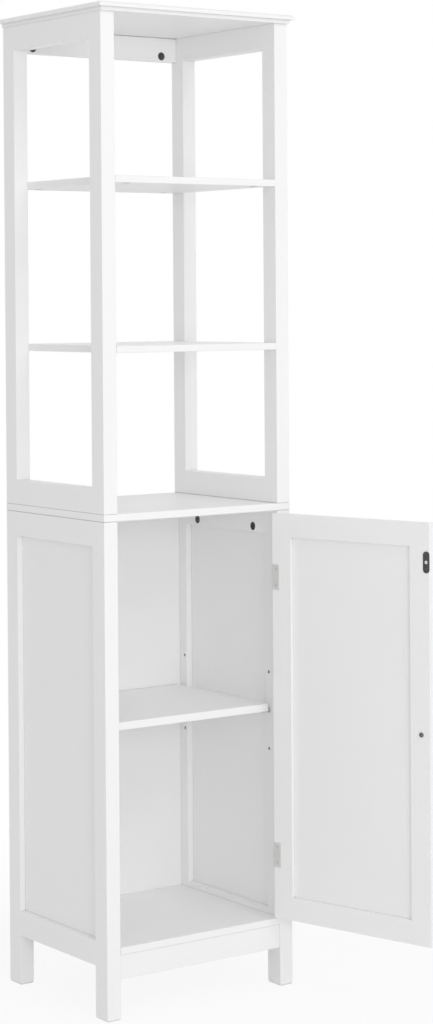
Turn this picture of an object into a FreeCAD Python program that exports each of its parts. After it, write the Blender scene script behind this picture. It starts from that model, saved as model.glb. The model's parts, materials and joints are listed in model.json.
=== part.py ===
import FreeCAD, Part
import math
import os

# Tall, narrow bathroom cabinet: an open three-bay shelf stand on top of a cupboard with one inset door.
# Units are millimetres. +X is to the right seen from the front, +Y to the back, +Z up.
# The origin is on the floor, in the middle of the rectangle that the four legs stand on.

# ---- overall ----
overall_height = 1700.0
body_width = 388.0            # over the outer faces of the left and right posts
body_depth = 316.0            # over the front and rear faces of the posts
post_width = 27.0             # a post or leg, seen from the front
post_depth = 36.0             # a post or leg, seen from the side
upper_rail_height = 42.0      # the rails of the open stand's side frames
lower_rail_height = 42.5      # the rails of the cupboard's side frames
arris = 1.2                   # softened outer edge of a painted piece
board_arris = 2.0             # softened edges that show as a joint line: middle board, rear rail

# ---- top board ----
top_thickness = 15.0
top_side_overhang = 9.5
top_front_overhang = 13.0
nose_radius = 8.0             # quarter round along the front and the sides
nose_land = 0.6               # upright part of the nose below its quarter round
neck_setback = 7.5            # the strip under the nose stands back by this much

# ---- boards and shelves ----
middle_thickness = 13.0
middle_top = 847.0            # height of the middle board's upper face
open_shelf_thickness = 12.0
lowest_bay_height = 268.5     # clear height above the middle board
inner_shelf_thickness = 13.5
inner_shelf_side_gap = 5.0
inner_shelf_setback = 24.0
inner_shelf_rear_gap = 0.8
pin_seat_depth = 4.0          # the shelf's grooves let it sink this far over its pins
bottom_thickness = 12.0
bottom_top = 121.0            # height of the bottom board's upper face
apron_height = 41.5
apron_thickness = 15.0
apron_setback = 2.0
side_rail_bottom = 88.0       # underside of the lower side rails

# ---- thin panels in grooves ----
panel_thickness = 4.0
panel_recess = 11.0           # from a frame's outer face to its panel
groove_depth = 6.0
groove_end_gap = 0.5          # between a panel's edge and the floor of its groove
back_bottom = 88.0            # lower edge of the back panel

# ---- upper rear rail ----
rear_rail_height = 44.0
rear_rail_thickness = 15.0

# ---- feet ----
foot_round = 4.0

# ---- dowels ----
dowel_radius = 4.0
small_dowel_radius = 3.0
dowel_clearance = 0.05
dowel_pair_pitch = 20.0
rail_dowel_reach = 14.0       # into the rail, and the same into the post
post_dowel_inset = 11.0       # of an upright dowel from a post's front or rear face
top_dowel_up = 9.0
top_dowel_down = 18.0
middle_dowel_reach = 13.0     # above and below the middle board
small_dowel_in_post = 8.0
small_dowel_in_rail = 14.0
dowel_tip_gap = 0.6           # air at a dowel's end

# ---- cam locks and their bolts ----
cam_radius = 7.4
cam_clearance = 0.1
cam_face_gap = 0.3            # the cam's face lies this much below the board's face
cam_wall_gap = 0.3            # behind the cam
cross_width = 2.2
cross_length = 9.0
cross_depth = 1.6
bolt_thread_radius = 3.0
bolt_shank_radius = 2.4
bolt_head_radius = 3.2
bolt_head_length = 3.0
bolt_thread_length = 10.5
bolt_bore_radius = 3.6
thread_clearance = 0.03
rear_cam_from_left = 25.0     # from the rail's left end
rear_cam_from_right = 33.0    # from the rail's right end
rear_cam_drop = 34.0          # below the top board
rear_cam_depth = 11.0
middle_cam_drop = 32.0        # below the middle board
middle_cam_from_centre = 85.0
middle_cam_depth = 10.5
board_cam_from_end = 34.0     # in the shelves and the bottom board
board_cam_depth = 9.6
bottom_cam_from_centre = 85.0

# ---- shelf pins ----
pin_radius = 3.0
pin_clearance = 0.05
pin_hole_depth = 9.0
pin_hole_floor_gap = 0.4
pin_reach = 14.0              # out of the post, under the shelf
pin_collar_radius = 4.6
pin_collar_thickness = 1.6
pin_edge_distance = 7.0       # from the inner edge of the leg
pin_pitch = 67.5
pin_middle_height = 481.0

# ---- door ----
door_thickness = 16.0
door_frame_width = 40.0
door_panel_thickness = 3.0
door_groove_depth = 7.0
door_hinge_gap = 2.0          # between the door's edge and the post
door_free_gap = 1.4
door_top_gap = 3.0
door_bottom_gap = 5.0
door_open_angle = 105.0       # as the cabinet stands here
door_arris = 1.0

# ---- hinges ----
hinge_height = 43.0
hinge_from_door_end = 110.5   # centre of a hinge from the top or bottom edge of the door
leaf_thickness = 0.8
knuckle_radius = 2.6
hinge_pin_radius = 1.2
knuckle_running_gap = 0.05
knuckle_face_gap = 0.4        # between a knuckle and the faces behind it
knuckle_axial_gap = 0.3
post_leaf_depth = 16.0
door_wing_width = 15.0        # the part of the door leaf on the door's inner face
hinge_pin_head = 0.8
hinge_screw_pitch = 28.0
post_screw_from_front = 9.0
door_screw_from_edge = 8.5

# ---- screws ----
screw_radius = 1.5
screw_head_radius = 2.9
screw_head_length = 1.5
screw_length = 12.0
screw_clearance = 0.04
slot_width = 0.8
slot_depth = 0.6

# ---- knob ----
knob_from_free_edge = 18.0
knob_radius = 14.0
knob_projection = 24.0
knob_rim_height = 19.0        # of its widest circle above the door
knob_neck_radius = 6.0
knob_neck_height = 8.0        # of its narrowest circle above the door
knob_foot_radius = 9.0
knob_foot_land = 1.5          # upright edge of the foot
knob_foot_hollow = (6.8, 4.2)     # a point of the hollow curve from foot to neck: radius, height
knob_throat = (9.2, 13.6)         # a point of the curve from neck to rim
knob_rim_land = 1.0           # upright edge of its widest circle
knob_screw_radius = 2.0
knob_screw_head_radius = 4.0
knob_screw_head_length = 2.2
knob_screw_in_knob = 10.0

# ---- magnetic catch and strike plate ----
catch_from_door_top = 65.0
catch_height = 40.0
catch_width = 12.0
catch_depth = 14.0
catch_gap = 0.3               # to the strike plate when the door is shut
catch_wall = 2.2
catch_end_wall = 7.0
pole_thickness = 1.4
catch_fit = 0.1
magnet_recess = 1.0
catch_screw_reach = 9.0       # into the leg
strike_height = 36.0
strike_width = 12.5
strike_thickness = 1.2

# ---- worked out from the sizes above ----
TOUCH = 1e-4
EXTRA = 1.0                   # how far a cutter runs past the face that it opens
half_width = body_width / 2
half_depth = body_depth / 2
inner_x = half_width - post_width
inner_y = half_depth - post_depth
post_top = overall_height - top_thickness
middle_bottom = middle_top - middle_thickness
bottom_bottom = bottom_top - bottom_thickness
apron_bottom = bottom_bottom - apron_height
upper_bay = (post_top - middle_top - lowest_bay_height - 2 * open_shelf_thickness) / 2
low_shelf_bottom = middle_top + lowest_bay_height
high_shelf_bottom = low_shelf_bottom + open_shelf_thickness + upper_bay
inner_shelf_bottom = pin_middle_height + pin_radius - pin_seat_depth
back_front_y = half_depth - panel_recess - panel_thickness
pin_y = inner_y + pin_edge_distance
post_mid_x = half_width - post_width / 2
post_mid_y = half_depth - post_depth / 2
dowel_y = half_depth - post_dowel_inset

hinge_axis_x = inner_x - door_hinge_gap / 2
hinge_axis_y = -half_depth - knuckle_radius - knuckle_face_gap
door_hinge_x = inner_x - door_hinge_gap
door_free_x = -inner_x + door_free_gap
door_front_y = -half_depth
door_back_y = door_front_y + door_thickness
door_top = middle_bottom - door_top_gap
door_bottom = bottom_top + door_bottom_gap
hinge_heights = (door_top - hinge_from_door_end, door_bottom + hinge_from_door_end)
catch_z = door_top - catch_from_door_top
knob_x = door_free_x + knob_from_free_edge
knob_z = (door_top + door_bottom) / 2
strike_x = door_free_x + strike_width / 2

X = FreeCAD.Vector(1, 0, 0)
Y = FreeCAD.Vector(0, 1, 0)
Z = FreeCAD.Vector(0, 0, 1)
LEFT, RIGHT = -1, 1
FRONT, REAR = -1, 1
SIDE_NAMES = {LEFT: "left", RIGHT: "right"}
END_NAMES = {FRONT: "front", REAR: "rear"}


# ---- small tools ----
def point(x, y, z):
    return FreeCAD.Vector(x, y, z)


def box(x_range, y_range, z_range):
    """A block between two limits along each axis, given in either order."""
    lows = [min(pair) for pair in (x_range, y_range, z_range)]
    sizes = [abs(pair[1] - pair[0]) for pair in (x_range, y_range, z_range)]
    return Part.makeBox(*sizes, point(*lows))


def rod(radius, start, direction, length):
    return Part.makeCylinder(radius, length, start, direction)


def edges_at(solid, **place):
    """The edges whose middle lies at the named coordinates."""
    found = []
    for edge in solid.Edges:
        middle = edge.CenterOfMass
        if all(abs(getattr(middle, axis) - value) < TOUCH for axis, value in place.items()):
            found.append(edge)
    return found


def rounded(solid, radius, *places):
    """Rounds the edges at each of the given places."""
    edges = []
    for place in places:
        edges.extend(edges_at(solid, **place))
    return solid.makeFillet(radius, edges)


def group(solids):
    return Part.makeCompound(solids)


def cut_all(solid, cutters):
    return solid.cut(cutters) if cutters else solid


# ---- dowels: each one is listed once, and cuts its own holes ----
class Dowel:
    def __init__(self, middle, direction, back, ahead, radius=dowel_radius):
        """Runs from `back` behind the joint plane to `ahead` past it."""
        start = middle - direction * back
        self.solid = rod(radius, start, direction, back + ahead)
        hole_start = start - direction * dowel_tip_gap
        hole_length = back + ahead + 2 * dowel_tip_gap
        self.hole = rod(radius + dowel_clearance, hole_start, direction, hole_length)


def frame_dowels(rail_bottom, rail_height):
    """Two dowels at each end of a left and a right side rail whose underside is at rail_bottom."""
    dowels = []
    for side in (LEFT, RIGHT):
        for end in (FRONT, REAR):
            for step in (-0.5, 0.5):
                height = rail_bottom + rail_height / 2 + step * dowel_pair_pitch
                middle = point(side * post_mid_x, end * inner_y, height)
                dowels.append(Dowel(middle, Y * end, rail_dowel_reach, rail_dowel_reach))
    return dowels


upper_rail_bottoms = (middle_top, post_top - upper_rail_height)
lower_rail_bottoms = (side_rail_bottom, middle_bottom - lower_rail_height)
side_dowels = {}
for bottom in upper_rail_bottoms:
    side_dowels[bottom] = frame_dowels(bottom, upper_rail_height)
for bottom in lower_rail_bottoms:
    side_dowels[bottom] = frame_dowels(bottom, lower_rail_height)

top_dowels = []
middle_dowels = []
for side in (LEFT, RIGHT):
    for end in (FRONT, REAR):
        top_foot = point(side * post_mid_x, end * dowel_y, post_top)
        top_dowels.append(Dowel(top_foot, Z, top_dowel_down, top_dowel_up))
        middle_foot = point(side * post_mid_x, end * dowel_y, middle_bottom)
        reach_up = middle_thickness + middle_dowel_reach
        middle_dowels.append(Dowel(middle_foot, Z, middle_dowel_reach, reach_up))

rear_rail_y = half_depth - rear_rail_thickness / 2
rear_rail_z = post_top - rear_rail_height / 2
apron_y = -half_depth + apron_setback + apron_thickness / 2
apron_z = apron_bottom + apron_height / 2


def cross_dowels(y, z):
    """Two small dowels at each end of a rail that runs from the left to the right post."""
    dowels = []
    for side in (LEFT, RIGHT):
        for step in (-0.5, 0.5):
            middle = point(side * inner_x, y, z + step * dowel_pair_pitch)
            dowel = Dowel(middle, X * side, small_dowel_in_rail, small_dowel_in_post, small_dowel_radius)
            dowels.append(dowel)
    return dowels


rear_rail_dowels = cross_dowels(rear_rail_y, rear_rail_z)
apron_dowels = cross_dowels(apron_y, apron_z)


# ---- cam locks ----
class CamLock:
    """A cam in a pocket, and the bolt that it draws tight across a joint.

    face is the middle of the pocket's mouth, inward points into the board and along points to the joint."""

    def __init__(self, face, inward, along, to_joint, depth, bolt_inset, through=0.0):
        cam_start = face + inward * cam_face_gap
        across = inward.cross(along)
        pocket_radius = cam_radius + cam_clearance
        pocket_depth = cam_face_gap + depth + cam_wall_gap
        self.pocket = rod(pocket_radius, face - inward * EXTRA, inward, pocket_depth + EXTRA)
        axis = face + inward * bolt_inset
        head_end = axis - along * (bolt_head_length / 2)
        head = rod(bolt_head_radius, head_end, along, bolt_head_length)
        shank = rod(bolt_shank_radius, axis, along, to_joint + through)
        thread_start = axis + along * (to_joint + through)
        thread = rod(bolt_thread_radius, thread_start, along, bolt_thread_length)
        self.bolt = head.fuse([shank, thread]).removeSplitter()
        self.bore = rod(bolt_bore_radius, axis, along, to_joint)
        joint = axis + along * to_joint
        self.through_hole = rod(bolt_bore_radius, joint, along, through) if through else None
        thread_hole_radius = bolt_thread_radius + thread_clearance
        thread_hole_length = bolt_thread_length + dowel_tip_gap
        self.thread_hole = rod(thread_hole_radius, thread_start, along, thread_hole_length)
        cam = rod(cam_radius, cam_start, inward, depth)
        head_room = bolt_head_radius + cam_clearance
        room_start = axis - along * (bolt_head_length / 2 + cam_clearance)
        room = rod(head_room, room_start, along, cam_radius + bolt_head_length)
        cross = []
        for arm, other in ((along, across), (across, -along)):
            bar = Part.makeBox(cross_length, cross_width, cross_depth)
            bar.translate(point(-cross_length / 2, -cross_width / 2, 0))
            turn = FreeCAD.Matrix(
                arm.x, other.x, inward.x, cam_start.x,
                arm.y, other.y, inward.y, cam_start.y,
                arm.z, other.z, inward.z, cam_start.z,
                0, 0, 0, 1)
            bar.Placement = FreeCAD.Placement(turn).multiply(bar.Placement)
            cross.append(bar)
        self.cam = cam.cut([room] + cross)


rear_cams = []
for cam_x in (-inner_x + rear_cam_from_left, inner_x - rear_cam_from_right):
    face = point(cam_x, half_depth - rear_rail_thickness, post_top - rear_cam_drop)
    rear_cams.append(CamLock(face, Y, Z, rear_cam_drop, rear_cam_depth, rear_rail_thickness / 2))

middle_cams = []
for side in (LEFT, RIGHT):
    for end in (FRONT, REAR):
        face = point(side * inner_x, end * middle_cam_from_centre, middle_bottom - middle_cam_drop)
        inset = middle_cam_depth / 2 + cam_face_gap
        cam = CamLock(face, X * side, Z, middle_cam_drop, middle_cam_depth, inset, middle_thickness)
        middle_cams.append(cam)


def board_cams(board_bottom, thickness, from_centre):
    """Four cams in a board's underside, with bolts out to the left and the right."""
    cams = []
    for side in (LEFT, RIGHT):
        for end in (FRONT, REAR):
            face = point(side * (inner_x - board_cam_from_end), end * from_centre, board_bottom)
            cams.append(CamLock(face, Z, X * side, board_cam_from_end, board_cam_depth, thickness / 2))
    return cams


shelf_cams = {bottom: board_cams(bottom, open_shelf_thickness, post_mid_y)
              for bottom in (low_shelf_bottom, high_shelf_bottom)}
all_shelf_cams = [cam for cams in shelf_cams.values() for cam in cams]
bottom_cams = board_cams(bottom_bottom, bottom_thickness, bottom_cam_from_centre)


# ---- screws ----
class Screw:
    """A countersunk screw, its head's face at `face`, driven along `inward`."""

    def __init__(self, face, inward, length=screw_length):
        self.solid = self.form(face, inward, length, 0.0)
        slot = Part.makeBox(2 * screw_head_radius, slot_width, slot_depth)
        slot.translate(point(-screw_head_radius, -slot_width / 2, 0))
        slot.Placement = FreeCAD.Placement(face, FreeCAD.Rotation(Z, inward)).multiply(slot.Placement)
        self.solid = self.solid.cut(slot)
        self.hole = self.form(face, inward, length, screw_clearance)

    def form(self, face, inward, length, room):
        head = Part.makeCone(screw_head_radius + room, screw_radius + room, screw_head_length, face, inward)
        shank = rod(screw_radius + room, face, inward, length + room)
        return head.fuse(shank)


# ---- the door's hinges, drawn with the door shut ----
def hinge_segments(middle):
    """The height ranges of the three knuckles of a hinge, from the lowest up."""
    length = (hinge_height - 2 * knuckle_axial_gap) / 3
    low = middle - hinge_height / 2
    starts = [low + number * (length + knuckle_axial_gap) for number in range(3)]
    return [(start, start + length) for start in starts]


def knuckle(z_range, bore_radius):
    low, high = z_range
    foot = point(hinge_axis_x, hinge_axis_y, low)
    tube = rod(knuckle_radius, foot, Z, high - low)
    return tube.cut(rod(bore_radius, foot, Z, high - low))


tab_start_y = hinge_axis_y + (hinge_pin_radius + knuckle_radius) / 2
leaf_start_y = hinge_axis_y + knuckle_radius + knuckle_face_gap


def post_leaf(middle):
    z_range = (middle - hinge_height / 2, middle + hinge_height / 2)
    plate_x = (inner_x - leaf_thickness, inner_x)
    leaf = box(plate_x, (leaf_start_y, -half_depth + post_leaf_depth), z_range)
    bottom, _, top = hinge_segments(middle)
    pieces = []
    for segment in (bottom, top):
        pieces.append(box(plate_x, (tab_start_y, leaf_start_y), segment))
        pieces.append(knuckle(segment, hinge_pin_radius))
    bore = rod(hinge_pin_radius, point(hinge_axis_x, hinge_axis_y, z_range[0]), Z, hinge_height)
    return leaf.fuse(pieces).cut(bore).removeSplitter()


def door_leaf(middle):
    z_range = (middle - hinge_height / 2, middle + hinge_height / 2)
    plate_x = (door_hinge_x, door_hinge_x + leaf_thickness)
    wing_back_y = door_back_y + leaf_thickness
    edge_plate = box(plate_x, (leaf_start_y, wing_back_y), z_range)
    wing = box((door_hinge_x - door_wing_width, plate_x[1]), (door_back_y, wing_back_y), z_range)
    _, centre, _ = hinge_segments(middle)
    tab = box(plate_x, (tab_start_y, leaf_start_y), centre)
    bore_radius = hinge_pin_radius + knuckle_running_gap
    bore = rod(bore_radius, point(hinge_axis_x, hinge_axis_y, z_range[0]), Z, hinge_height)
    return edge_plate.fuse([wing, tab, knuckle(centre, bore_radius)]).cut(bore).removeSplitter()


def hinge_pin(middle):
    low = middle - hinge_height / 2
    pin = rod(hinge_pin_radius, point(hinge_axis_x, hinge_axis_y, low), Z, hinge_height)
    heads = [rod(knuckle_radius, point(hinge_axis_x, hinge_axis_y, start), Z, hinge_pin_head)
             for start in (low - hinge_pin_head, low + hinge_height)]
    return pin.fuse(heads).removeSplitter()


post_screws = []
door_screws = []
for middle in hinge_heights:
    for step in (-0.5, 0.5):
        height = middle + step * hinge_screw_pitch
        post_spot = point(inner_x - leaf_thickness, -half_depth + post_screw_from_front, height)
        post_screws.append(Screw(post_spot, X))
        door_spot = point(door_hinge_x - door_screw_from_edge, door_back_y + leaf_thickness, height)
        door_screws.append(Screw(door_spot, -Y))


# ---- the magnetic catch on the front left leg, and its strike plate on the door ----
catch_front_y = door_back_y + strike_thickness + catch_gap
catch_x = (-inner_x, -inner_x + catch_width)
catch_y = (catch_front_y, catch_front_y + catch_depth)
cavity_x = (catch_x[0] + catch_wall, catch_x[1] - catch_wall)
cavity_back_y = catch_y[1] - catch_wall
cavity_z = (catch_z - catch_height / 2 + catch_end_wall, catch_z + catch_height / 2 - catch_end_wall)

catch_screws = []
for step in (-0.5, 0.5):
    height = catch_z + step * (catch_height - catch_end_wall)
    spot = point(catch_x[1], catch_front_y + catch_depth / 2, height)
    catch_screws.append(Screw(spot, -X, catch_width + catch_screw_reach))

strike_screw = Screw(point(strike_x, door_back_y + strike_thickness, catch_z), -Y)


def catch_housing():
    housing = box(catch_x, catch_y, (catch_z - catch_height / 2, catch_z + catch_height / 2))
    housing = rounded(housing, arris, {"x": catch_x[1], "y": catch_y[0]}, {"x": catch_x[1], "y": catch_y[1]})
    cavity = box(cavity_x, (catch_y[0] - EXTRA, cavity_back_y), cavity_z)
    return housing.cut([cavity] + [screw.hole for screw in catch_screws])


def inner_cavity_range(z_range):
    return z_range[0] + catch_fit, z_range[1] - catch_fit


def pole_plates():
    plates = []
    for edge, inward in ((cavity_x[0] + catch_fit, 1), (cavity_x[1] - catch_fit, -1)):
        plate_x = (edge, edge + inward * pole_thickness)
        plates.append(box(plate_x, (catch_y[0], cavity_back_y), inner_cavity_range(cavity_z)))
    return group(plates)


def catch_magnet():
    side = catch_fit + pole_thickness
    magnet_x = (cavity_x[0] + side, cavity_x[1] - side)
    return box(magnet_x, (catch_y[0] + magnet_recess, cavity_back_y), inner_cavity_range(cavity_z))


def strike_plate():
    end_radius = strike_width / 2
    straight = strike_height - strike_width
    y_range = (door_back_y, door_back_y + strike_thickness)
    x_range = (strike_x - end_radius, strike_x + end_radius)
    middle = box(x_range, y_range, (catch_z - straight / 2, catch_z + straight / 2))
    ends = [rod(end_radius, point(strike_x, door_back_y, catch_z + step * straight), Y, strike_thickness)
            for step in (-0.5, 0.5)]
    return middle.fuse(ends).removeSplitter().cut(strike_screw.hole)


# ---- frame pieces ----
def corner_edges(side, end):
    """The two upright edges of a post that no side rail meets."""
    return ({"x": side * half_width, "y": end * half_depth}, {"x": side * inner_x, "y": end * half_depth})


def bare_post(side, end, z_range):
    return box((side * inner_x, side * half_width), (end * inner_y, end * half_depth), z_range)


def end_edges(side, end, height):
    """The four edges around the end of a post or leg."""
    return ({"x": side * half_width, "z": height}, {"x": side * inner_x, "z": height},
            {"y": end * half_depth, "z": height}, {"y": end * inner_y, "z": height})


def upper_post(side, end):
    post = rounded(bare_post(side, end, (middle_top, post_top)), arris, *corner_edges(side, end))
    post = rounded(post, arris, {"x": side * half_width, "z": middle_top})
    cutters = [dowel.hole for dowel in top_dowels + middle_dowels]
    for bottom in upper_rail_bottoms:
        cutters += [dowel.hole for dowel in side_dowels[bottom]]
    if end == REAR:
        cutters += [dowel.hole for dowel in rear_rail_dowels]
    cutters += [cam.thread_hole for cam in all_shelf_cams]
    return cut_all(post, cutters)


def side_panel_heights():
    """From the lower to the upper edge of a side panel, in its grooves."""
    tongue = groove_depth - groove_end_gap
    return side_rail_bottom + lower_rail_height - tongue, middle_bottom - lower_rail_height + tongue


def side_panel_x(side):
    outer = side * (half_width - panel_recess)
    return outer, outer - side * panel_thickness


def side_groove(side):
    """The ring of grooves in a lower side frame, as one block."""
    low, high = side_panel_heights()
    y_reach = inner_y + groove_depth
    return box(side_panel_x(side), (-y_reach, y_reach), (low - groove_end_gap, high + groove_end_gap))


def back_groove():
    x_reach = inner_x + groove_depth
    y_range = (back_front_y, back_front_y + panel_thickness)
    return box((-x_reach, x_reach), y_range, (back_bottom, middle_bottom))


def pin_holes(side, end):
    holes = []
    for step in (-1, 0, 1):
        mouth = point(side * (inner_x - EXTRA), end * pin_y, pin_middle_height + step * pin_pitch)
        holes.append(rod(pin_radius + pin_clearance, mouth, X * side, pin_hole_depth + EXTRA))
    return holes


def leg(side, end):
    leg_solid = bare_post(side, end, (0, middle_bottom))
    leg_solid = rounded(leg_solid, foot_round, *end_edges(side, end, 0))
    leg_solid = rounded(leg_solid, arris, *corner_edges(side, end))
    cutters = [side_groove(side)] + pin_holes(side, end)
    cutters += [dowel.hole for dowel in middle_dowels]
    for bottom in lower_rail_bottoms:
        cutters += [dowel.hole for dowel in side_dowels[bottom]]
    if end == REAR:
        cutters.append(back_groove())
    else:
        cutters += [dowel.hole for dowel in apron_dowels]
        screws = post_screws if side == RIGHT else catch_screws
        cutters += [screw.hole for screw in screws]
    return cut_all(leg_solid, cutters)


def side_rail(side, bottom, height, soft_heights, cutters):
    """A rail of a side frame, softened along the edges at soft_heights."""
    rail = box((side * inner_x, side * half_width), (-inner_y, inner_y), (bottom, bottom + height))
    soft_edges = []
    for level in soft_heights:
        soft_edges += [{"x": side * inner_x, "z": level}, {"x": side * half_width, "z": level}]
    rail = rounded(rail, arris, *soft_edges)
    return cut_all(rail, [dowel.hole for dowel in side_dowels[bottom]] + cutters)


def upper_bottom_rail(side):
    threads = [cam.thread_hole for cam in middle_cams]
    soft_heights = [middle_top, middle_top + upper_rail_height]
    return side_rail(side, middle_top, upper_rail_height, soft_heights, threads)


def upper_top_rail(side):
    bottom = post_top - upper_rail_height
    return side_rail(side, bottom, upper_rail_height, [bottom], [])


def lower_top_rail(side):
    bottom = middle_bottom - lower_rail_height
    cutters = [side_groove(side)]
    for cam in middle_cams:
        cutters += [cam.pocket, cam.bore]
    return side_rail(side, bottom, lower_rail_height, [bottom], cutters)


def lower_bottom_rail(side):
    cutters = [side_groove(side)] + [cam.thread_hole for cam in bottom_cams]
    soft_heights = [side_rail_bottom, side_rail_bottom + lower_rail_height]
    return side_rail(side, side_rail_bottom, lower_rail_height, soft_heights, cutters)


def upper_rear_rail():
    y_range = (half_depth - rear_rail_thickness, half_depth)
    bottom = post_top - rear_rail_height
    rail = box((-inner_x, inner_x), y_range, (bottom, post_top))
    rail = rounded(rail, board_arris, {"y": y_range[0], "z": post_top}, {"y": y_range[0], "z": bottom})
    cutters = [dowel.hole for dowel in rear_rail_dowels]
    for cam in rear_cams:
        cutters += [cam.pocket, cam.bore]
    return cut_all(rail, cutters)


def front_apron():
    y_range = (-half_depth + apron_setback, -half_depth + apron_setback + apron_thickness)
    apron = box((-inner_x, inner_x), y_range, (apron_bottom, bottom_bottom))
    lower_edges = ({"y": y_range[0], "z": apron_bottom}, {"y": y_range[1], "z": apron_bottom})
    apron = rounded(apron, arris, {"y": y_range[0], "z": bottom_bottom}, *lower_edges)
    return cut_all(apron, [dowel.hole for dowel in apron_dowels])


def side_panel(side):
    y_reach = inner_y + groove_depth - groove_end_gap
    return box(side_panel_x(side), (-y_reach, y_reach), side_panel_heights())


def back_panel():
    x_reach = inner_x + groove_depth - groove_end_gap
    y_range = (back_front_y, back_front_y + panel_thickness)
    return box((-x_reach, x_reach), y_range, (back_bottom, middle_bottom))


# ---- boards ----
def top_board():
    nose_bottom = overall_height - nose_radius - nose_land
    side = half_width + top_side_overhang
    front = -half_depth - top_front_overhang
    nose = box((-side, side), (front, half_depth), (nose_bottom, overall_height))
    crest = {"z": overall_height}
    nose = rounded(nose, nose_radius, {"x": -side, **crest}, {"x": side, **crest}, {"y": front, **crest})
    neck_side = side - neck_setback
    neck = box((-neck_side, neck_side), (front + neck_setback, half_depth), (post_top, nose_bottom))
    cutters = [dowel.hole for dowel in top_dowels] + [cam.thread_hole for cam in rear_cams]
    return cut_all(nose.fuse(neck).removeSplitter(), cutters)


def middle_board():
    board = box((-half_width, half_width), (-half_depth, half_depth), (middle_bottom, middle_top))
    rims = []
    for height in (middle_bottom, middle_top):
        rims += [{"x": -half_width, "z": height}, {"x": half_width, "z": height}]
        rims += [{"y": -half_depth, "z": height}, {"y": half_depth, "z": height}]
    board = rounded(board, board_arris, *rims)
    cutters = [dowel.hole for dowel in middle_dowels] + [cam.through_hole for cam in middle_cams]
    return cut_all(board, cutters)


def open_shelf(bottom):
    top = bottom + open_shelf_thickness
    shelf = box((-inner_x, inner_x), (-half_depth, half_depth), (bottom, top))
    long_edges = [{"y": end * half_depth, "z": height} for end in (FRONT, REAR) for height in (bottom, top)]
    shelf = rounded(shelf, arris, *long_edges)
    cutters = []
    for cam in shelf_cams[bottom]:
        cutters += [cam.pocket, cam.bore]
    return cut_all(shelf, cutters)


def pin_seat(side, end):
    """The round-topped groove in the inner shelf's underside that drops over a pin."""
    radius = pin_radius + pin_clearance
    length = pin_reach + dowel_tip_gap
    groove_x = (side * inner_x, side * (inner_x - length))
    pin_axis_y = end * pin_y
    round_top = rod(radius, point(side * inner_x, pin_axis_y, pin_middle_height), X * -side, length)
    mouth_z = (inner_shelf_bottom - EXTRA, pin_middle_height)
    return round_top.fuse(box(groove_x, (pin_axis_y - radius, pin_axis_y + radius), mouth_z))


def inner_shelf():
    reach = inner_x - inner_shelf_side_gap
    front = -half_depth + inner_shelf_setback
    top = inner_shelf_bottom + inner_shelf_thickness
    y_range = (front, back_front_y - inner_shelf_rear_gap)
    shelf = box((-reach, reach), y_range, (inner_shelf_bottom, top))
    shelf = rounded(shelf, arris, {"y": front, "z": inner_shelf_bottom}, {"y": front, "z": top})
    return cut_all(shelf, [pin_seat(side, end) for side in (LEFT, RIGHT) for end in (FRONT, REAR)])


def bottom_board():
    board = box((-inner_x, inner_x), (-half_depth, back_front_y), (bottom_bottom, bottom_top))
    front_edges = ({"y": -half_depth, "z": bottom_bottom}, {"y": -half_depth, "z": bottom_top})
    board = rounded(board, arris, *front_edges)
    cutters = []
    for cam in bottom_cams:
        cutters += [cam.pocket, cam.bore]
    return cut_all(board, cutters)


def shelf_pin(side, end):
    inner_end = side * (inner_x + pin_hole_depth - pin_hole_floor_gap)
    start = point(inner_end, end * pin_y, pin_middle_height)
    length = pin_hole_depth - pin_hole_floor_gap + pin_reach
    pin = rod(pin_radius, start, X * -side, length)
    collar_start = point(side * inner_x, end * pin_y, pin_middle_height)
    collar = rod(pin_collar_radius, collar_start, X * -side, pin_collar_thickness)
    return pin.fuse(collar).removeSplitter()


# ---- door, drawn shut ----
door_panel_y = ((door_front_y + door_back_y - door_panel_thickness) / 2,
                (door_front_y + door_back_y + door_panel_thickness) / 2)


def door_inset(reach):
    """A block as thick as the door's panel, `reach` in from the four edges of the door."""
    x_range = (door_free_x + reach, door_hinge_x - reach)
    return box(x_range, door_panel_y, (door_bottom + reach, door_top - reach))


def door_groove():
    """The ring of grooves in the door's frame, as one block."""
    return door_inset(door_frame_width - door_groove_depth)


def door_stile(edge_x, inward):
    """An upright piece of the door's frame; the groove for the panel runs its whole length."""
    inner_edge = edge_x + inward * door_frame_width
    stile = box((edge_x, inner_edge), (door_front_y, door_back_y), (door_bottom, door_top))
    edges = [{"x": edge_x, "y": face} for face in (door_front_y, door_back_y)]
    stile = rounded(stile, door_arris, *edges)
    groove_x = (inner_edge, inner_edge - inward * door_groove_depth)
    groove = box(groove_x, door_panel_y, (door_bottom, door_top))
    screws = door_screws if inward < 0 else [strike_screw]
    cutters = [groove] + [screw.hole for screw in screws]
    if inward > 0:
        cutters.append(knob_screw_hole())
    return cut_all(stile, cutters)


def door_rail(edge_z, inward):
    """A level piece of the door's frame, with a stub tenon at each end in the stiles' grooves."""
    inner_edge = edge_z + inward * door_frame_width
    x_range = (door_free_x + door_frame_width, door_hinge_x - door_frame_width)
    rail = box(x_range, (door_front_y, door_back_y), (edge_z, inner_edge))
    tongue = door_groove_depth - groove_end_gap
    tenons = box((x_range[0] - tongue, x_range[1] + tongue), door_panel_y, (edge_z, inner_edge))
    edges = [{"y": face, "z": edge_z} for face in (door_front_y, door_back_y)]
    return rounded(rail, door_arris, *edges).fuse(tenons).removeSplitter().cut(door_groove())


def door_panel():
    return door_inset(door_frame_width - door_groove_depth + groove_end_gap)


def knob_screw_hole():
    start = point(knob_x, door_back_y + EXTRA, knob_z)
    return rod(knob_screw_radius + screw_clearance, start, -Y, door_thickness + 2 * EXTRA)


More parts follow.
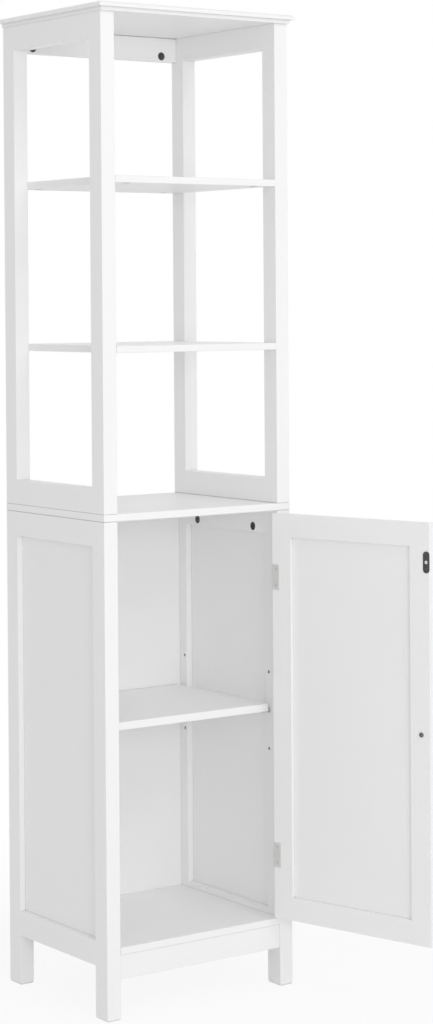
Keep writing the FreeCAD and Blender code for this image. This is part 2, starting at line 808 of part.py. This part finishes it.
def knob_screw():
    head_face = point(knob_x, door_back_y, knob_z)
    shank = rod(knob_screw_radius, head_face, -Y, door_thickness + knob_screw_in_knob)
    head = rod(knob_screw_head_radius, head_face, Y, knob_screw_head_length)
    head = head.makeFillet(knob_screw_head_length / 2, edges_at(head, y=door_back_y + knob_screw_head_length))
    slot_y = (door_back_y + knob_screw_head_length - slot_depth, door_back_y + knob_screw_head_length + EXTRA)
    reach = knob_screw_head_radius
    bars = [box((knob_x - reach, knob_x + reach), slot_y, (knob_z - slot_width / 2, knob_z + slot_width / 2)),
            box((knob_x - slot_width / 2, knob_x + slot_width / 2), slot_y, (knob_z - reach, knob_z + reach))]
    return head.cut(bars).fuse(shank).removeSplitter()


def door_knob():
    """A turned knob: foot, hollow neck and domed head, with the hole for its screw."""
    def at(radius, height):
        return point(radius, 0, height)

    rim_top = knob_rim_height + knob_rim_land
    dome_rise = knob_projection - rim_top
    dome_radius = (knob_radius ** 2 + dome_rise ** 2) / (2 * dome_rise)
    half_angle = math.asin(knob_radius / dome_radius) / 2
    dome_middle = at(dome_radius * math.sin(half_angle),
                     knob_projection - dome_radius * (1 - math.cos(half_angle)))
    tip = at(0, knob_projection)
    neck, rim = at(knob_neck_radius, knob_neck_height), at(knob_radius, knob_rim_height)
    foot_top = at(knob_foot_radius, knob_foot_land)
    bore_radius = knob_screw_radius + screw_clearance
    bore_end = knob_screw_in_knob + dowel_tip_gap
    outline = [
        Part.LineSegment(at(bore_radius, 0), at(knob_foot_radius, 0)),
        Part.LineSegment(at(knob_foot_radius, 0), foot_top),
        Part.Arc(foot_top, at(*knob_foot_hollow), neck),
        Part.Arc(neck, at(*knob_throat), rim),
        Part.LineSegment(rim, at(knob_radius, rim_top)),
        Part.Arc(at(knob_radius, rim_top), dome_middle, tip),
        Part.LineSegment(tip, at(0, bore_end)),
        Part.LineSegment(at(0, bore_end), at(bore_radius, bore_end)),
        Part.LineSegment(at(bore_radius, bore_end), at(bore_radius, 0)),
    ]
    profile = Part.Face(Part.Wire([curve.toShape() for curve in outline]))
    knob = profile.revolve(point(0, 0, 0), Z, 360)
    knob.Placement = FreeCAD.Placement(point(knob_x, door_front_y, knob_z), FreeCAD.Rotation(Z, -Y))
    return knob


def swung_open(shape):
    """Turns a piece of the door from shut to the angle at which the door stands."""
    turned = shape.copy()
    turned.rotate(point(hinge_axis_x, hinge_axis_y, 0), Z, door_open_angle)
    return turned


# ---- every piece under its own name ----
nodes = {"top_board": top_board(), "middle_board": middle_board()}

for side, side_name in SIDE_NAMES.items():
    for end, end_name in END_NAMES.items():
        nodes[f"upper_post_{end_name}_{side_name}"] = upper_post(side, end)
        nodes[f"leg_{end_name}_{side_name}"] = leg(side, end)
    nodes[f"upper_top_rail_{side_name}"] = upper_top_rail(side)
    nodes[f"upper_bottom_rail_{side_name}"] = upper_bottom_rail(side)
    nodes[f"lower_top_rail_{side_name}"] = lower_top_rail(side)
    nodes[f"lower_bottom_rail_{side_name}"] = lower_bottom_rail(side)
    nodes[f"side_panel_{side_name}"] = side_panel(side)

nodes["upper_rear_rail"] = upper_rear_rail()
nodes["open_shelf_lower"] = open_shelf(low_shelf_bottom)
nodes["open_shelf_upper"] = open_shelf(high_shelf_bottom)
nodes["inner_shelf"] = inner_shelf()
nodes["bottom_board"] = bottom_board()
nodes["front_apron"] = front_apron()
nodes["back_panel"] = back_panel()
nodes["shelf_pins"] = group([shelf_pin(side, end) for side in (LEFT, RIGHT) for end in (FRONT, REAR)])

for name, cams in (("rear_rail", rear_cams), ("middle", middle_cams),
                   ("open_shelf", all_shelf_cams), ("bottom_board", bottom_cams)):
    nodes[f"{name}_cam_locks"] = group([cam.cam for cam in cams])
    nodes[f"{name}_cam_bolts"] = group([cam.bolt for cam in cams])

all_side_dowels = [dowel for dowels in side_dowels.values() for dowel in dowels]
for name, dowels in (("side_frame", all_side_dowels), ("top", top_dowels), ("middle", middle_dowels),
                     ("rear_rail", rear_rail_dowels), ("apron", apron_dowels)):
    nodes[f"{name}_dowels"] = group([dowel.solid for dowel in dowels])

post_leaves = [post_leaf(middle).cut([screw.hole for screw in post_screws]) for middle in hinge_heights]
nodes["hinge_post_leaves"] = group(post_leaves)
nodes["hinge_pins"] = group([hinge_pin(middle) for middle in hinge_heights])
nodes["hinge_post_screws"] = group([screw.solid for screw in post_screws])
nodes["catch_housing"] = catch_housing()
nodes["catch_magnet"] = catch_magnet()
nodes["catch_pole_plates"] = pole_plates()
nodes["catch_screws"] = group([screw.solid for screw in catch_screws])

door_leaves = [door_leaf(middle).cut([screw.hole for screw in door_screws]) for middle in hinge_heights]
door_nodes = {
    "door_hinge_stile": door_stile(door_hinge_x, -1),
    "door_free_stile": door_stile(door_free_x, 1),
    "door_top_rail": door_rail(door_top, -1),
    "door_bottom_rail": door_rail(door_bottom, 1),
    "door_panel": door_panel(),
    "door_knob": door_knob(),
    "door_knob_screw": knob_screw(),
    "hinge_door_leaves": group(door_leaves),
    "hinge_door_screws": group([screw.solid for screw in door_screws]),
    "strike_plate": strike_plate(),
    "strike_screw": strike_screw.solid,
}
for name, shape in door_nodes.items():
    nodes[name] = swung_open(shape)

os.makedirs("parts", exist_ok=True)
for name, shape in nodes.items():
    shape.exportStep(f"parts/{name}.step")
    print(f"{name}: {len(shape.Solids)} solids, {shape.Volume / 1000:.2f} cm3, valid {shape.isValid()}")
print(f"{len(nodes)} nodes")
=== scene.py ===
import json
import math

import bpy
from mathutils import Matrix, Vector

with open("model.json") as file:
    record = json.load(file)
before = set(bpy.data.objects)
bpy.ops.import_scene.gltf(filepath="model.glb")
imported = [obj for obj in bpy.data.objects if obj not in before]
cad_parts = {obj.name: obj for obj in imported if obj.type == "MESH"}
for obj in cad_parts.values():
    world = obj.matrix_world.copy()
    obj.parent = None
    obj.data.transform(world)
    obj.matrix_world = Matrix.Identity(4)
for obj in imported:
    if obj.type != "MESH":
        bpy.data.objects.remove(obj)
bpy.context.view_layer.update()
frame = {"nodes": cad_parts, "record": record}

MM = 0.001


# ---- materials ----
class Nodes:
    """A material under construction, with its shader and a few shorthands."""

    # where the Mix node keeps its colour sockets, which share their names with its other sockets
    MIX_SHARE, MIX_FIRST, MIX_SECOND, MIX_RESULT = 0, 6, 7, 2

    def __init__(self, name):
        self.material = bpy.data.materials.new(name)
        self.material.use_nodes = True
        self.tree = self.material.node_tree
        self.shader = self.tree.nodes["Principled BSDF"]
        self.place = self.add("ShaderNodeTexCoord").outputs["Object"]

    def add(self, kind, **values):
        node = self.tree.nodes.new(kind)
        for key, value in values.items():
            setattr(node, key, value)
        return node

    def link(self, source, target):
        self.tree.links.new(source, target)

    def stretched(self, stretch):
        mapping = self.add("ShaderNodeMapping")
        mapping.inputs["Scale"].default_value = stretch
        self.link(self.place, mapping.inputs["Vector"])
        return mapping.outputs["Vector"]

    def noise(self, scale, detail=2.0, rough=0.5, stretch=None):
        noise = self.add("ShaderNodeTexNoise")
        noise.inputs["Scale"].default_value = scale
        noise.inputs["Detail"].default_value = detail
        noise.inputs["Roughness"].default_value = rough
        self.link(self.stretched(stretch) if stretch else self.place, noise.inputs["Vector"])
        return noise.outputs["Fac"]

    def ranged(self, value, low, high, start=0.3, stop=0.7):
        """Gives low at start and high at stop. Noise mostly lies between the default start and stop."""
        span = self.add("ShaderNodeMapRange")
        span.inputs["From Min"].default_value = start
        span.inputs["From Max"].default_value = stop
        span.inputs["To Min"].default_value = low
        span.inputs["To Max"].default_value = high
        self.link(value, span.inputs["Value"])
        return span.outputs["Result"]

    def colours(self, value, *stops):
        """Blends between the stops, each a position and a colour."""
        ramp = self.add("ShaderNodeValToRGB")
        elements = ramp.color_ramp.elements
        while len(elements) < len(stops):
            elements.new(0.5)
        for element, (position, colour) in zip(elements, stops):
            element.position = position
            element.color = (*colour, 1.0)
        self.link(value, ramp.inputs["Fac"])
        return ramp.outputs["Color"]

    def bump(self, value, distance, under=None):
        bump = self.add("ShaderNodeBump")
        bump.inputs["Distance"].default_value = distance
        self.link(value, bump.inputs["Height"])
        if under is not None:
            self.link(under, bump.inputs["Normal"])
        return bump.outputs["Normal"]

    def openness(self, reach, only_local=True):
        """1 in the open and 0 where surfaces within reach close in; only_local counts its own object's."""
        occlusion = self.add("ShaderNodeAmbientOcclusion", samples=6, only_local=only_local)
        occlusion.inputs["Distance"].default_value = reach
        return occlusion.outputs["AO"]

    def mixed(self, share, first, second):
        """A share of 0 gives the first colour and 1 the second; the second may be a plain colour."""
        mix = self.add("ShaderNodeMix", data_type="RGBA")
        self.link(share, mix.inputs[self.MIX_SHARE])
        self.link(first, mix.inputs[self.MIX_FIRST])
        if isinstance(second, tuple):
            mix.inputs[self.MIX_SECOND].default_value = (*second, 1.0)
        else:
            self.link(second, mix.inputs[self.MIX_SECOND])
        return mix.outputs[self.MIX_RESULT]

    def finish(self, colour, roughness, normal, metallic=0.0):
        for name, source in (("Base Color", colour), ("Roughness", roughness), ("Normal", normal)):
            self.link(source, self.shader.inputs[name])
        self.shader.inputs["Metallic"].default_value = metallic
        return self.material


def grey(level):
    return (level, level, level)


CORNER_SHADE_REACH = 4 * MM            # within this of another surface, paint takes painted shade, as in joints and corners
# grey that the paint is mixed toward in joints and corners: painted shade
PAINTED_JOINT_SHADE = grey(0.55)
BORE_REACH = 20 * MM            # more than the width of any drilled hole
BOARD_DARK, BOARD_LIGHT = (0.20, 0.15, 0.10), (0.30, 0.23, 0.16)


def white_paint(name, light, dark, rough=(0.36, 0.46), peel=0.03 * MM):
    """Satin paint, cloudy and rippled, with specks. Painted shade darkens it in joints and corners, and
    drilled holes are bare board.
    """
    m = Nodes(name)
    paint = m.colours(m.noise(scale=2.6, detail=3.0), (0.30, dark), (0.70, light))
    board = m.colours(m.noise(scale=900.0), (0.30, BOARD_DARK), (0.70, BOARD_LIGHT))
    # painted shade: occlusion from nearby surfaces darkens the paint toward that grey in joints and corners
    painted_shade_share = m.ranged(m.openness(CORNER_SHADE_REACH, only_local=False), low=1.0, high=0.0, start=0.20, stop=0.68)
    outside_bore = m.ranged(m.openness(BORE_REACH), low=0.0, high=1.0, start=0.10, stop=0.30)
    colour = m.mixed(outside_bore, board, m.mixed(painted_shade_share, paint, PAINTED_JOINT_SHADE))
    sheen = m.ranged(m.noise(scale=38.0, detail=3.0), *rough)
    ripple = m.bump(m.noise(scale=360.0, rough=0.6), peel)
    speck = m.ranged(m.noise(scale=900.0, detail=1.0), low=0.0, high=1.0, start=0.70, stop=0.80)
    return m.finish(colour, sheen, m.bump(speck, 0.02 * MM, under=ripple))


LINES_ACROSS_X = (14.0, 1.0, 1.0)
LINES_ACROSS_Z = (1.0, 1.0, 14.0)


def metal(name, light, dark, rough=(0.24, 0.38), lines=LINES_ACROSS_Z, scale=260.0, pits=0.01 * MM):
    """Plated or cast metal, with fine lines in its sheen unless lines is None."""
    m = Nodes(name)
    colour = m.colours(m.noise(scale=60.0, detail=4.0), (0.32, dark), (0.68, light))
    texture = m.noise(scale, detail=4.0, stretch=lines)
    return m.finish(colour, m.ranged(texture, *rough), m.bump(texture, pits), metallic=1.0)


def beech(name):
    """Bare beech with fine upright grain and the wood's short dark flecks."""
    m = Nodes(name)
    grain = m.noise(scale=55.0, detail=5.0, stretch=(1.0, 1.0, 0.12))
    flecks = m.noise(scale=420.0, stretch=(1.0, 1.0, 0.2))
    dark, middle, light = (0.50, 0.32, 0.18), (0.66, 0.46, 0.28), (0.74, 0.55, 0.36)
    colour = m.colours(grain, (0.30, dark), (0.55, middle), (0.72, light))
    return m.finish(colour, m.ranged(flecks, low=0.55, high=0.75), m.bump(flecks, 0.05 * MM))


def moulded(name, light, dark):
    """Moulded plastic with the fine spark-eroded texture of its tool."""
    m = Nodes(name)
    colour = m.colours(m.noise(scale=30.0), (0.30, dark), (0.70, light))
    texture = m.noise(scale=1500.0, rough=0.7)
    return m.finish(colour, m.ranged(texture, low=0.40, high=0.52), m.bump(texture, 0.02 * MM))


def dark_metal(name, light, dark, rough, metallic):
    """Dark steel or sintered ferrite, a little uneven; on the strike plate the darkness is painted
    reflection.
    """
    m = Nodes(name)
    colour = m.colours(m.noise(scale=140.0, detail=5.0, rough=0.65), (0.30, dark), (0.70, light))
    grit = m.noise(scale=1100.0)
    return m.finish(colour, m.ranged(grit, *rough), m.bump(grit, 0.02 * MM), metallic)


SATIN_PLATE = (0.34, 0.48)      # roughness

finishes = {
    "white_paint": (white_paint, dict(light=grey(0.906), dark=grey(0.892))),
    "panel_paint": (white_paint, dict(light=grey(0.904), dark=grey(0.890), rough=(0.40, 0.52),
                                      peel=0.02 * MM)),
    "beech": (beech, {}),
    # the cams' near-black colour is partly dark oxide on the zinc and partly painted shade of the bores they
    # sit in
    "cam_zinc": (metal, dict(light=grey(0.16), dark=grey(0.09), rough=(0.40, 0.56),
                             lines=None, scale=700.0, pits=0.03 * MM)),
    "bolt_steel": (metal, dict(light=(0.62, 0.62, 0.60), dark=(0.48, 0.48, 0.47))),
    "pin_steel": (metal, dict(light=(0.66, 0.65, 0.63), dark=(0.52, 0.51, 0.50), rough=(0.22, 0.34),
                              lines=LINES_ACROSS_X)),
    "hinge_steel": (metal, dict(light=(0.92, 0.92, 0.91), dark=(0.84, 0.84, 0.83), rough=SATIN_PLATE)),
    "screw_steel": (metal, dict(light=(0.82, 0.82, 0.81), dark=(0.72, 0.72, 0.71), rough=SATIN_PLATE)),
    "dark_steel": (metal, dict(light=grey(0.22), dark=grey(0.14), rough=SATIN_PLATE)),
    "catch_plastic": (moulded, dict(light=(0.80, 0.80, 0.79), dark=(0.77, 0.77, 0.76))),
    "magnet": (dark_metal, dict(light=(0.060, 0.058, 0.056), dark=(0.030, 0.029, 0.028), rough=(0.55, 0.75),
                           metallic=0.2)),
    "pole_steel": (metal, dict(light=(0.55, 0.55, 0.54), dark=(0.40, 0.40, 0.39), rough=(0.30, 0.46))),
    # the strike's near-black colour is painted reflection: it stands in for the dark surroundings its steel
    # reflects
    "strike_dark": (dark_metal, dict(light=(0.105, 0.105, 0.108), dark=(0.050, 0.050, 0.052), rough=(0.34, 0.50),
                                metallic=0.7)),
    "knob_metal": (metal, dict(light=(0.68, 0.67, 0.65), dark=(0.58, 0.57, 0.55), rough=(0.22, 0.32),
                               lines=None, scale=900.0)),
}
materials = {slot: make(slot, **looks) for slot, (make, looks) in finishes.items()}
for subpart in frame["record"]["subparts"]:
    mesh = frame["nodes"][subpart["node"]].data
    mesh.materials.clear()
    mesh.materials.append(materials[subpart["material_slot"]])


# ---- floor and backdrop ----
FLOOR_SIZE = 60.0
FLOOR_WHITE_NEAR = 0.86             # share of plain white near the object, where the rest takes its shadow
FADE_START, FADE_STOP = 0.45, 1.3   # metres from the object's middle, over which the share rises to 1
WORLD_LEVEL = 0.69                  # the world's light on the object; seen directly, the world is plain white


def backdrop_rays(tree):
    """1 for rays that show the backdrop, also in metal or through glass, and 0 for rays that gather light."""
    path = tree.nodes.new("ShaderNodeLightPath")
    shown = path.outputs["Is Camera Ray"]
    for kind in ("Is Glossy Ray", "Is Transmission Ray"):
        either = tree.nodes.new("ShaderNodeMath")
        either.operation = "MAXIMUM"
        tree.links.new(shown, either.inputs[0])
        tree.links.new(path.outputs[kind], either.inputs[1])
        shown = either.outputs["Value"]
    return shown


def floor_material():
    """White floor that fades to the backdrop's white away from the object and keeps its shadow near it."""
    m = Nodes("floor")
    m.shader.inputs["Base Color"].default_value = (*grey(0.90), 1.0)
    m.shader.inputs["Roughness"].default_value = 0.9
    m.shader.inputs["Specular IOR Level"].default_value = 0.0
    length = m.add("ShaderNodeVectorMath", operation="LENGTH")
    m.link(m.place, length.inputs[0])
    distance = length.outputs["Value"]
    whiteness = m.ranged(distance, low=FLOOR_WHITE_NEAR, high=1.0, start=FADE_START, stop=FADE_STOP)
    share = m.add("ShaderNodeMath", operation="MULTIPLY")
    m.link(backdrop_rays(m.tree), share.inputs[0])
    m.link(whiteness, share.inputs[1])
    mix = m.add("ShaderNodeMixShader")
    m.link(share.outputs["Value"], mix.inputs["Fac"])
    m.link(m.shader.outputs["BSDF"], mix.inputs[1])
    m.link(m.add("ShaderNodeEmission").outputs["Emission"], mix.inputs[2])
    m.link(mix.outputs["Shader"], m.tree.nodes["Material Output"].inputs["Surface"])
    return m.material


bpy.ops.mesh.primitive_plane_add(size=FLOOR_SIZE)
floor = bpy.context.object
floor.name = "floor"
floor.data.materials.append(floor_material())

world = bpy.data.worlds.new("studio")
world.use_nodes = True
sky = world.node_tree
level = sky.nodes.new("ShaderNodeMapRange")
level.inputs["To Min"].default_value = WORLD_LEVEL
level.inputs["To Max"].default_value = 1.0
sky.links.new(backdrop_rays(sky), level.inputs["Value"])
backdrop = sky.nodes["Background"]
backdrop.inputs["Color"].default_value = (*grey(1.0), 1.0)
sky.links.new(level.outputs["Result"], backdrop.inputs["Strength"])

scene = bpy.context.scene
scene.world = world


# ---- light ----
def soft_light(name, place, target, size, power):
    """A square lamp, its side in metres and its power in watts, that faces the target."""
    lamp = bpy.data.lights.new(name, "AREA")
    lamp.size = size
    lamp.energy = power
    light = bpy.data.objects.new(name, lamp)
    light.location = place
    light.rotation_euler = (Vector(target) - Vector(place)).to_track_quat("-Z", "Y").to_euler()
    scene.collection.objects.link(light)


soft_light("key", place=(-1.4, -4.6, 1.2), target=(0.0, 0.0, 0.5), size=1.6, power=37.4)
soft_light("left_key", place=(-2.6, -4.2, 2.4), target=(0.0, 0.0, 0.85), size=2.4, power=11.0)
soft_light("high_key", place=(0.35, -3.6, 3.8), target=(0.0, 0.0, 0.35), size=1.8, power=27.4)

# ---- camera ----
YAW, PITCH, ROLL = (math.radians(angle) for angle in (35.5836, -0.6402, -0.3945))
CAMERA_PLACE = Vector((-2.3919, -3.5453, 1.2030))
PHOTO_WIDTH, PHOTO_HEIGHT = 433, 1024
FOCAL, CENTRE_X, CENTRE_Y = 2430.39, 213.25, 327.10     # in pixels of the photograph
SENSOR_WIDTH = 36.0                                     # in millimetres, across the photograph's longer side

ahead = Vector((math.sin(YAW) * math.cos(PITCH), math.cos(YAW) * math.cos(PITCH), math.sin(PITCH)))
level_right = Vector((math.cos(YAW), -math.sin(YAW), 0.0))
level_up = level_right.cross(ahead)
right = level_right * math.cos(ROLL) + level_up * math.sin(ROLL)
up = level_up * math.cos(ROLL) - level_right * math.sin(ROLL)
lens = bpy.data.cameras.new("camera")
lens.sensor_width = SENSOR_WIDTH
lens.lens = FOCAL * SENSOR_WIDTH / PHOTO_HEIGHT
lens.shift_x = (PHOTO_WIDTH / 2 - CENTRE_X) / PHOTO_HEIGHT
lens.shift_y = (CENTRE_Y - PHOTO_HEIGHT / 2) / PHOTO_HEIGHT
camera = bpy.data.objects.new("camera", lens)
camera.matrix_world = Matrix.Translation(CAMERA_PLACE) @ Matrix((right, up, -ahead)).transposed().to_4x4()
scene.collection.objects.link(camera)
scene.camera = camera
scene.view_settings.view_transform = "Standard"
scene.cycles.diffuse_bounces = 12       # light between the pale faces inside the cupboard
scene.cycles.max_bounces = 16
